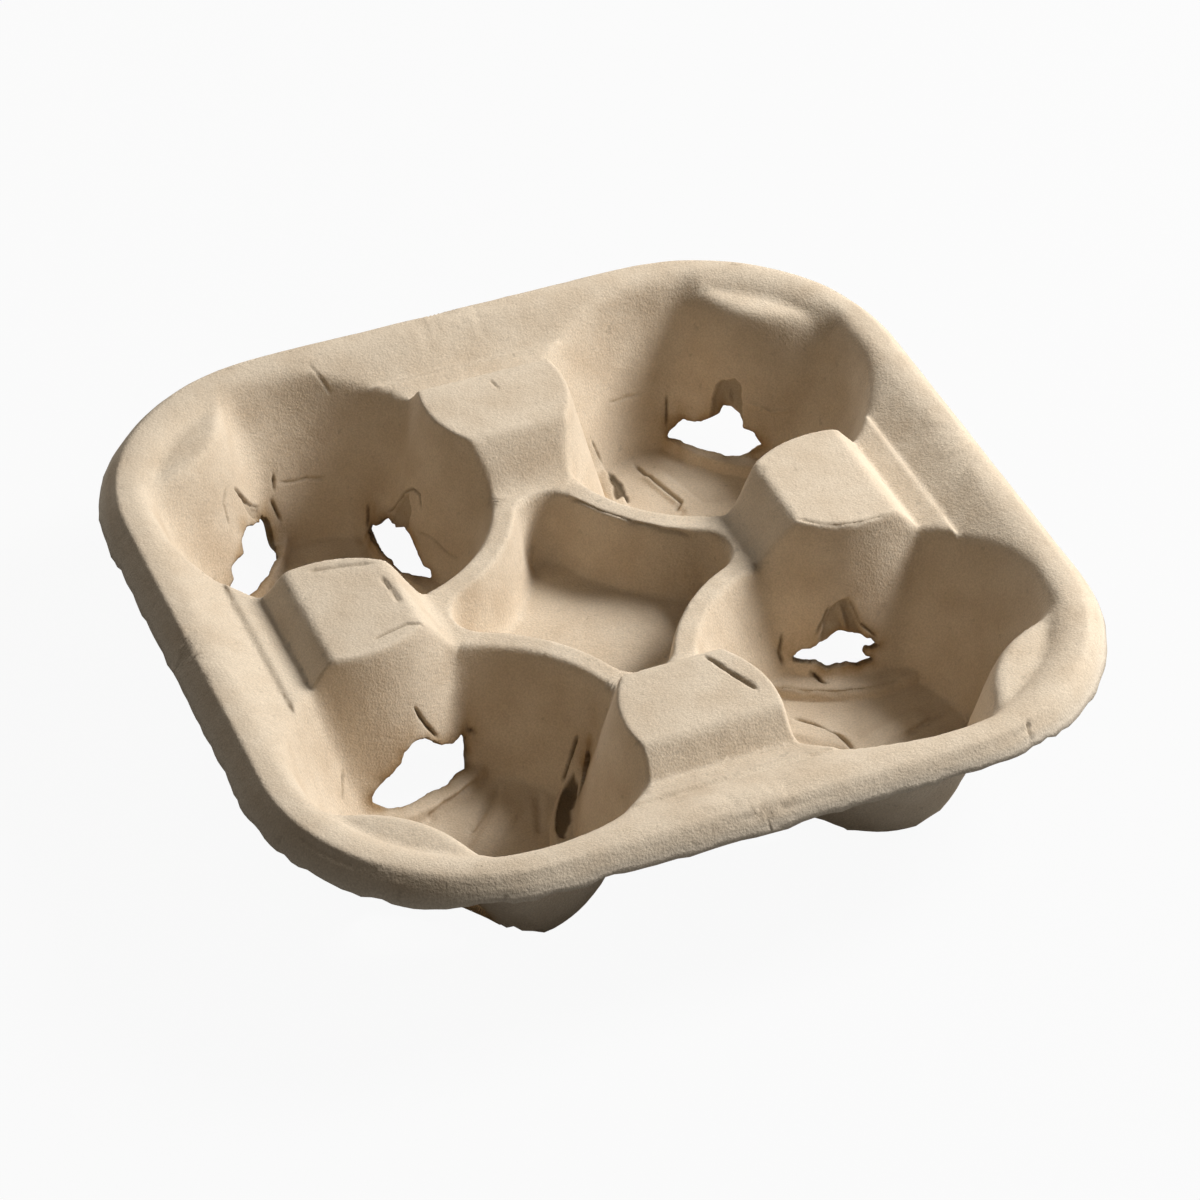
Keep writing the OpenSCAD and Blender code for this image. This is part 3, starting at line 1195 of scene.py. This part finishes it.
@dataclass(frozen=True)
class Tray:
    """The pulp shell: its lattices, torn windows, marks, mesh and finish, with lengths in millimetres."""

    mould: Mould = Mould()
    windows: tuple[Window, ...] = WINDOWS
    marks: tuple[Crease | Dent, ...] = CREASES + DENTS
    finish: PulpFinish = PulpFinish()
    name: str = "pulp_tray"
    # Lattices: rays of an outer, a short and an inner part, rings, steps in each, and the floor's disc
    rays: tuple[int, int, int] = (36, 18, 36)
    rings: int = 48
    fine: int = 4
    disc_r: float = 14.0
    ray_samples: int = 501
    flat_share: float = 0.1
    even_passes: int = 6
    places_per_mm: float = 1000.0
    place_stride: int = 1_000_003
    # A window's part of a column's wall: half its arc, and its lowest and highest height
    window_half: float = 22.0
    window_low: float = -3.0
    window_high: float = 26.0
    # Bends of the face in radians, and distances from marks and tears, that ask for cells of 1, 2 and 4 steps
    bend_limits: tuple[float, float, float] = (0.9, 0.32, 0.085)
    mark_limits: tuple[float, float] = (0.5, 1.2)
    torn_limits: tuple[float, float] = (0.8, 2.0)
    snap_reach: float = 3.0
    skirt_edge: float = 1.0
    # The skirt's ragged edge, and how much shorter it is along the front
    fray_coarse: Rough = Rough(0.35, 7.0, 61)
    fray_fine: Rough = Rough(0.3, 2.2, 67)
    fray_wide: float = 4.0
    short: float = 0.9
    short_start: float = 96.0
    short_fade: float = 8.0
    # Lumps of the upper face, and what the under face does otherwise
    lumps: Rough = Rough(0.10, 16.0, 5)
    pits: Rough = Rough(0.05, 4.0, 9)
    wall_lumps: Rough = Rough(0.25, 9.0, 21)
    under_soft: float = 1.8
    # Strengths that the finish reads: torn and the painted shade fade away from a tear, the painted highlight comes up
    # at the skirt's edge
    torn_fade: float = 2.6
    torn_mean: float = 0.7
    torn_patches: Rough = Rough(0.9, 5.0, 31)
    painted_shade_edge: float = 0.45
    painted_shade_fade: float = 0.5
    painted_highlight_in: float = 2.4
    painted_highlight_wide: float = 2.0

    def ray_turns(self) -> Array:
        """Angles of the rays round the back-right well: even steps between the corners of its quarter of the tray.

        Returns:
            Angles in radians, from 0 to a full turn.
        """
        m = self.mould
        edge = math.pi / 2 + math.atan2(m.well_c, m.corner_r)
        keys = [0.0, math.pi / 2, edge, 1.25 * math.pi, 2.5 * math.pi - edge, 2 * math.pi]
        outer, short, inner = (n * self.fine for n in self.rays)
        counts = (outer, short, inner, inner, short)
        parts = [np.linspace(a, b, n, endpoint=False) for a, b, n in zip(keys, keys[1:], counts)]
        return np.append(np.concatenate(parts), 2 * math.pi)

    def reach(self, turn: Array) -> Array:
        """Distance from the back-right well's axis to the edge of its quarter: an arc outside, and straight sides.

        Args:
            turn: Angles of the rays.

        Returns:
            Distance along each ray.
        """
        m = self.mould
        c, s = np.cos(turn), np.sin(turn)
        far = np.full_like(turn, np.inf)
        for part, stop in ((c, m.corner_r), (s, m.corner_r), (-c, m.well_c), (-s, m.well_c)):
            far = np.where(part > TINY, np.minimum(far, stop / np.maximum(part, TINY)), far)
        return np.where((c >= 0) & (s >= 0), m.corner_r, far)

    def ring_lattice(self, turn: Array) -> tuple[Array, Array]:
        """Ring lattice of the back-right quarter: rays from the floor's disc, with rings spaced evenly on the face.

        Args:
            turn: Angles of the rays.

        Returns:
            X and Y from the well's axis, with a row for each ray.
        """
        m = self.mould
        t = np.linspace(0.0, 1.0, self.ray_samples)
        r = self.disc_r + (self.reach(turn)[:, None] - self.disc_r) * t
        c, s = np.cos(turn)[:, None], np.sin(turn)[:, None]
        z = m.height((r * c + m.well_c).ravel(), (r * s + m.well_c).ravel()).reshape(r.shape)
        along = np.hypot(np.diff(r, axis=1), np.diff(z, axis=1)) + self.flat_share * np.diff(r, axis=1)
        run = np.concatenate([np.zeros((len(r), 1)), np.cumsum(along, axis=1)], axis=1)
        for _ in range(self.even_passes):
            run[1:-1] = (run[:-2] + 2 * run[1:-1] + run[2:]) / 4
        steps = np.linspace(0.0, 1.0, self.rings * self.fine + 1)
        rings = np.stack([np.interp(steps * a[-1], a, b) for a, b in zip(run, r)])
        rings[-1] = rings[0]
        return rings * c, rings * s

    def disc_lattice(self, turn: Array) -> tuple[Array, Array]:
        """Disc lattice of the back-right quarter: a square grid whose outline is wrapped onto the innermost ring.

        Args:
            turn: Angles of the rays that it meets.

        Returns:
            X and Y from the well's axis.
        """
        n = len(turn) // 4
        k = np.arange(n + 1) * 2.0 / n - 1.0
        p, q = np.meshgrid(k, k, indexing="ij")
        s = np.maximum(np.abs(p), np.abs(q))
        safe = np.maximum(s, TINY)
        sides = [p >= np.abs(q), q >= np.abs(p), -p >= np.abs(q)]
        lap = np.select(sides, [q / safe, 2 - p / safe, 4 - q / safe], 6 + p / safe)
        angle = np.interp((lap % 8.0) / 8.0 * (len(turn) - 1), np.arange(len(turn)), turn)
        return self.disc_r * s * np.cos(angle), self.disc_r * s * np.sin(angle)

    def lattices(self) -> list[Lattice]:
        """Lattices of all four quarters, mirrored from one, with one number for each place that they share.

        Returns:
            The lattices.
        """
        c = self.mould.well_c
        found = []
        turn = self.ray_turns()
        ring, disc = self.ring_lattice(turn), self.disc_lattice(turn)
        for sx, sy in (w.value for w in Well):
            for (x, y), turned in ((ring, -1), (disc, 1)):
                x, y = (x[::-1], y[::-1]) if sx * sy * turned < 0 else (x, y)
                found.append(Lattice(sx * (x + c), sy * (y + c)))
        flat = np.concatenate([np.column_stack([g.x.ravel(), g.y.ravel()]) for g in found])
        cells = np.round(flat * self.places_per_mm).astype(np.int64)
        _, ids = np.unique(cells[:, 0] * self.place_stride + cells[:, 1], return_inverse=True)
        start = 0
        for g in found:
            g.ids = ids[start : start + g.x.size].reshape(g.x.shape)
            start += g.x.size
        return found

    def torn_distance(self, x: Array, y: Array) -> tuple[Array, Array, Array]:
        """Signed distance from points of the face to the nearest torn window.

        Args:
            x: Place along X.
            y: Place along Y.

        Returns:
            Signed distances, and X and Y of the nearest points on the outlines.
        """
        gap, nx, ny = np.full(len(x), FAR), x.copy(), y.copy()
        for w in self.windows:
            across, up = w.place(self.mould, x, y)
            here = w.well.holds(x, y) & (np.abs(across) < self.window_half)
            rows = np.flatnonzero(here & (up > self.window_low) & (up < self.window_high))
            d, foot = w.distance(across[rows], up[rows])
            closer = np.abs(d) < np.abs(gap[rows])
            fx, fy = w.unplace(self.mould, foot[:, 0], foot[:, 1])
            gap[rows[closer]], nx[rows[closer]], ny[rows[closer]] = d[closer], fx[closer], fy[closer]
        return gap, nx, ny

    def relief(self, place: Array) -> Pressed:
        """Creases and dents together: depths are summed, and the strongest painted shade and the nearest are kept.

        Args:
            place: Points of the face.

        Returns:
            Depth, painted shade and distance for each point.
        """
        depth, painted_shade, near = (np.zeros(len(place)), np.zeros(len(place)), np.full(len(place), FAR))
        for mark in self.marks:
            one = mark.press(self.mould, place)
            depth = depth + one.depth
            painted_shade = np.maximum(painted_shade, one.painted_shade)
            near = np.minimum(near, one.near)
        return Pressed(depth, np.clip(painted_shade, 0.0, 1.0), near)

    def bends(self, grids: list[Lattice], x: Array, y: Array) -> Array:
        """Largest turn of the face's normal over one step of the lattice.

        Args:
            grids: Lattices of the tray.
            x: Place along X, by number.
            y: Place along Y, by number.

        Returns:
            Turn in radians for each numbered place.
        """
        _, normal = self.mould.normals(x, y)
        bend = np.zeros(len(x))
        for g in grids:
            for ids in (g.ids, g.ids.T):
                turn = np.linalg.norm(np.diff(normal[ids], axis=0), axis=2).ravel()
                np.maximum.at(bend, ids[:-1].ravel(), turn)
                np.maximum.at(bend, ids[1:].ravel(), turn)
        return bend

    def wanted(self, grids: list[Lattice], x: Array, y: Array, gap: Array) -> tuple[Array, Array]:
        """Largest cells allowed: small where the face bends, at marks and at tears, and even at the skirt's edge.

        Args:
            grids: Lattices of the tray.
            x: Place along X, by number.
            y: Place along Y, by number.
            gap: Signed distance to the nearest window.

        Returns:
            Largest cell at each numbered place, on the upper and on the under face.
        """
        least, small, middle, large = CELL_SIDES
        near = self.relief(np.column_stack([x, y, self.mould.height(x, y)])).near
        bend, torn = self.bends(grids, x, y), np.abs(gap)
        top = np.select([bend > limit for limit in self.bend_limits], [least, small, middle], large)
        for away, limits in ((near, self.mark_limits), (torn, self.torn_limits)):
            top = np.select([away < limit for limit in limits], [least, np.minimum(top, small)], top)
        edge = self.mould.outward(x, y) > self.mould.half - self.skirt_edge
        low = np.where(torn < self.torn_limits[0], least, np.where(edge, middle, large))
        return np.where(edge, middle, top), low

    def faces(self, grids: list[Lattice], want: Array, gap: Array) -> Faces:
        """Faces of one side of the shell, without those inside a window.

        Each cell is a face through its corners and through every corner of a smaller cell on its edges.

        Args:
            grids: Lattices of the tray.
            want: Largest cell allowed at each numbered place.
            gap: Signed distance to the nearest window for each numbered place.

        Returns:
            The faces.
        """
        used = np.zeros(len(gap), bool)
        kept = []
        for g in grids:
            for i, j, size in g.cells(want[g.ids]):
                corner = [g.ids[i + a, j + b] for a, b in CELL_CORNERS * size]
                if size == 1:
                    middle = sum(gap[c] for c in corner) / len(corner)
                else:
                    middle = gap[g.ids[i + size // 2, j + size // 2]]
                whole = middle >= 0
                kept.append((g, i[whole], j[whole], size))
                for c in corner:
                    used[c[whole]] = True
        numbers, counts = [], []
        for g, i, j, size in kept:
            s = np.arange(size)
            da = np.concatenate([s, np.full(size, size), size - s, np.zeros(size, int)])
            db = np.concatenate([np.zeros(size, int), s, np.full(size, size), size - s])
            ids = g.ids[i[:, None] + da, j[:, None] + db]
            numbers.append(ids[used[ids]])
            counts.append(used[ids].sum(1))
        return Faces(np.concatenate(numbers), np.concatenate(counts))

    def fray(self, x: Array, y: Array, out: Array) -> tuple[Array, Array]:
        """Shift of the skirt's ragged edge, square to it: coarse and fine noise, and a shorter skirt along the front.

        Args:
            x: Place along X.
            y: Place along Y.
            out: Outward distance.

        Returns:
            Shift along X and along Y.
        """
        m = self.mould
        qx, qy = m.past_corner(x, y)
        side = np.maximum(np.hypot(qx, qy), TINY)
        spot = np.column_stack([x, y, np.zeros_like(x)])
        ragged = self.fray_coarse.at(spot) + self.fray_fine.at(spot)
        short = self.short * smooth_step((-y - self.short_start) / self.short_fade)
        shift = (ragged - short) * smooth_step((out - m.half + self.fray_wide) / self.fray_wide)
        return np.sign(x) * qx / side * shift, np.sign(y) * qy / side * shift

    def strengths(self, place: Array, painted_shade: Array, gap: Array, out: Array) -> dict[str, Array]:
        """Strengths that the finish reads, from distances to the tears and to the skirt's edge.

        Args:
            place: Points of the upper face.
            painted_shade: Painted shade of the marks.
            gap: Signed distance to the nearest window.
            out: Outward distance.

        Returns:
            Strengths from 0 to 1, by name.
        """
        away = np.maximum(gap, 0.0)
        patches = np.clip(self.torn_mean + self.torn_patches.at(place), 0.0, 1.0)
        return {
            "torn": np.exp(-away / self.torn_fade) * patches,
            # Painted shade of the marks, and a thin line of painted shade along each tear
            "painted_shade": np.maximum(painted_shade, self.painted_shade_edge * np.exp(-away / self.painted_shade_fade)),
            # Painted highlight along the skirt's edge
            "painted_highlight": smooth_step((out - self.mould.half + self.painted_highlight_in) / self.painted_highlight_wide),
        }

    def build(self) -> bpy.types.Object:
        """Makes the shell's mesh and its object.

        Cells inside a window are left out, and open corners are moved onto its torn outline. The skirt's edge is
        frayed. Upper points are then pressed by the marks, and under points are set back along the normals.

        Returns:
            The tray's object.
        """
        m = self.mould
        grids = self.lattices()
        count = 1 + max(int(g.ids.max()) for g in grids)
        x, y = np.zeros(count), np.zeros(count)
        for g in grids:
            x[g.ids.ravel()], y[g.ids.ravel()] = g.x.ravel(), g.y.ravel()
        gap, near_x, near_y = self.torn_distance(x, y)
        out = m.outward(x, y)
        top, low = (self.faces(grids, want, gap) for want in self.wanted(grids, x, y, gap))
        edge = top.open_edges()
        snap = np.zeros(count, bool)
        snap[edge.ravel()] = True
        snap &= np.abs(gap) < self.snap_reach
        x[snap], y[snap] = near_x[snap], near_y[snap]
        shift_x, shift_y = self.fray(x, y, out)
        rows = np.union1d(top.corners, low.corners)
        x, y = (x + shift_x)[rows], (y + shift_y)[rows]
        z_top, n_top = m.normals(x, y)
        z_low, n_low = m.normals(x, y, self.under_soft)
        place = np.column_stack([x, y, z_top])
        pressed = self.relief(place)
        upper = place + n_top * (self.lumps.at(place) + self.pits.at(place) - pressed.depth)[:, None]
        lower = np.column_stack([x, y, z_low]) - n_low * (m.wall + self.wall_lumps.at(place))[:, None]
        number = np.full(count, -1)
        number[rows] = np.arange(len(rows))
        marks = self.strengths(place, pressed.painted_shade, gap[rows], out[rows])
        return self.mesh(upper, lower, top.renumbered(number), low.renumbered(number), number[edge], marks)

    def mesh(
        self, upper: Array, lower: Array, top: Faces, low: Faces, edge: Array, marks: dict[str, Array]
    ) -> bpy.types.Object:
        """Joins the two sides along their open edges, by two strips that meet half way, and makes the object.

        Args:
            upper: Points of the upper side.
            lower: Points of the under side.
            top: Upper faces.
            low: Under faces, still the same way round as the upper ones.
            edge: Open edges, as pairs of point numbers.
            marks: Named strengths for each point. The under side has only the torn one.

        Returns:
            The tray's object.
        """
        n = len(upper)
        ring = np.unique(edge)
        mid_of = np.full(n, -1)
        mid_of[ring] = 2 * n + np.arange(len(ring))
        points = np.concatenate([upper, lower, (upper[ring] + lower[ring]) / 2])
        a, b = edge[:, 0], edge[:, 1]
        above = np.column_stack([b, a, mid_of[a], mid_of[b]])
        below = np.column_stack([mid_of[b], mid_of[a], a + n, b + n])
        strips = np.concatenate([above, below])
        loops = np.concatenate([top.corners, low.turned_over().corners + n, strips.ravel()])
        counts = np.concatenate([top.counts, low.counts, np.full(len(strips), 4)])
        used = np.zeros(len(points), bool)
        used[loops] = True
        points, loops = points[used] * MM, (np.cumsum(used) - 1)[loops]
        mesh = bpy.data.meshes.new(self.name)
        mesh.vertices.add(len(points))
        mesh.vertices.foreach_set("co", points.astype(np.float32).ravel())
        mesh.loops.add(len(loops))
        mesh.loops.foreach_set("vertex_index", loops.astype(np.int32))
        mesh.polygons.add(len(counts))
        mesh.polygons.foreach_set("loop_start", (np.cumsum(counts) - counts).astype(np.int32))
        mesh.polygons.foreach_set("use_smooth", np.ones(len(counts), bool))
        mesh.update(calc_edges=True)
        mesh.validate()
        for key, value in marks.items():
            under = value if key == "torn" else 0 * value
            mark = mesh.attributes.new(key, "FLOAT", "POINT")
            mark.data.foreach_set("value", np.concatenate([value, under, value[ring]])[used].astype(np.float32))
        tray = bpy.data.objects.new(self.name, mesh)
        bpy.context.scene.collection.objects.link(tray)
        LOG.info("%s: %d points, %d triangles", self.name, len(points), int((counts - 2).sum()))
        return tray

    def dress(self, tray: bpy.types.Object) -> None:
        """Gives the shell its finish."""
        tray.data.materials.append(self.finish.make())
        LOG.info("%s: dressed in %s", self.name, self.finish.name)


@dataclass(frozen=True)
class Lamp:
    """Square soft light that looks at the middle of the tray: its place and side in metres, and its watts."""

    name: str
    place: Place
    side: float
    power: float

    def build(self) -> None:
        """Makes the light."""
        light = bpy.data.lights.new(self.name, "AREA")
        light.size = self.side
        light.energy = self.power
        lamp = bpy.data.objects.new(self.name, light)
        lamp.location = self.place
        lamp.rotation_mode = "QUATERNION"
        lamp.rotation_quaternion = (-Vector(self.place)).to_track_quat("-Z", "Y")
        bpy.context.scene.collection.objects.link(lamp)
        LOG.info("%s: %.1f W", self.name, self.power)


@dataclass(frozen=True)
class FloorFinish:
    """Matt floor that shows near-white to the camera and in gloss, and keeps a faint shadow."""

    name: str = "floor_white"
    grey: float = 0.3
    roughness: float = 0.9
    white_share: float = 0.94
    rays: tuple[str, ...] = ("Is Glossy Ray", "Is Transmission Ray")

    def make(self) -> bpy.types.Material:
        """Builds the material: a grey shader, and a white glow for camera, glossy and transmitted rays.

        Returns:
            The material.
        """
        mat = bpy.data.materials.new(self.name)
        mat.use_nodes = True
        mat.node_tree.nodes.clear()
        bench = NodeBench(mat.node_tree)
        values = {"Base Color": (self.grey, self.grey, self.grey, 1.0), "Roughness": self.roughness}
        matt = bench.add("ShaderNodeBsdfPrincipled", values, {}).outputs["BSDF"]
        glow = bench.add("ShaderNodeEmission", {"Color": (1.0, 1.0, 1.0, 1.0)}, {}).outputs["Emission"]
        path = bench.add("ShaderNodeLightPath", {}, {})
        seen = path.outputs["Is Camera Ray"]
        for ray in self.rays:
            total = bench.add("ShaderNodeMath", {}, {0: seen, 1: path.outputs[ray]}, {"operation": "ADD"})
            seen = total.outputs["Value"]
        settings = {"operation": "MULTIPLY", "use_clamp": True}
        share = bench.add("ShaderNodeMath", {1: self.white_share}, {0: seen}, settings).outputs["Value"]
        mix = bench.add("ShaderNodeMixShader", {}, {"Fac": share, 1: matt, 2: glow})
        bench.add("ShaderNodeOutputMaterial", {}, {"Surface": mix.outputs["Shader"]})
        return mat


@dataclass(frozen=True)
class Studio:
    """Pale floor, soft lights and the camera at the photo's angle, with lengths in metres."""

    lamps: tuple[Lamp, ...] = (
        Lamp("key_light", (0.93, 0.0, 0.81), 0.4, 22.0),
        Lamp("back_light", (-0.10, 1.15, 0.40), 0.6, 3.6),
    )
    world_colour: Colour = (1.0, 0.91, 0.80)
    world_strength: float = 0.11
    floor_finish: FloorFinish = FloorFinish()
    floor_half: float = 6.0
    floor_z: float = -0.0004
    camera_place: Place = (-0.30021, -0.73763, 0.68894)
    camera_right: Place = (0.92385, -0.38273, -0.00482)
    camera_forward: Place = (0.2914, 0.71144, -0.63949)
    lens: float = 128.2
    sensor: float = 36.0
    clip: tuple[float, float] = (0.01, 100.0)

    def build(self) -> None:
        """Makes the floor, the lights, the world and the camera."""
        self.floor()
        for lamp in self.lamps:
            lamp.build()
        self.world()
        self.camera()

    def floor(self) -> None:
        """Makes the wide square floor, just under the tray's feet."""
        square = (2 * CELL_CORNERS - 1) * self.floor_half
        mesh = bpy.data.meshes.new("floor")
        mesh.from_pydata([(*corner, self.floor_z) for corner in square.tolist()], [], [(0, 1, 2, 3)])
        floor = bpy.data.objects.new("floor", mesh)
        bpy.context.scene.collection.objects.link(floor)
        mesh.materials.append(self.floor_finish.make())
        LOG.info("floor: %.1f m wide", 2 * self.floor_half)

    def world(self) -> None:
        """Sets the even light from all round."""
        world = bpy.data.worlds.new("studio_world")
        world.use_nodes = True
        back = world.node_tree.nodes["Background"]
        back.inputs["Color"].default_value = (*self.world_colour, 1.0)
        back.inputs["Strength"].default_value = self.world_strength
        bpy.context.scene.world = world

    def camera(self) -> None:
        """Makes the camera that was fitted to the photo."""
        cam = bpy.data.cameras.new("camera")
        cam.sensor_width = self.sensor
        cam.lens = self.lens
        cam.clip_start, cam.clip_end = self.clip
        eye = bpy.data.objects.new("camera", cam)
        right = Vector(self.camera_right).normalized()
        back = -Vector(self.camera_forward).normalized()
        up = back.cross(right).normalized()
        right = up.cross(back)
        turn = Matrix((right, up, back)).transposed().to_4x4()
        eye.matrix_world = Matrix.Translation(self.camera_place) @ turn
        bpy.context.scene.collection.objects.link(eye)
        bpy.context.scene.camera = eye
        LOG.info("camera: %.1f mm lens", self.lens)


def corners(box: tuple[Vector, Vector]) -> list[list[float]]:
    """Box as plain lists of numbers."""
    return [list(map(float, corner)) for corner in box]


def main() -> None:
    """Loads the frame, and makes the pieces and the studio."""
    logging.basicConfig(level=logging.INFO, format="%(name)s: %(message)s")
    bpy.context.scene.view_settings.view_transform = "Standard"
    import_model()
    shell = Tray()
    tray = shell.build()
    shell.dress(tray)
    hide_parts("tray")
    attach(tray, "root")
    Studio().build()


if __name__ == "__main__":
    main()
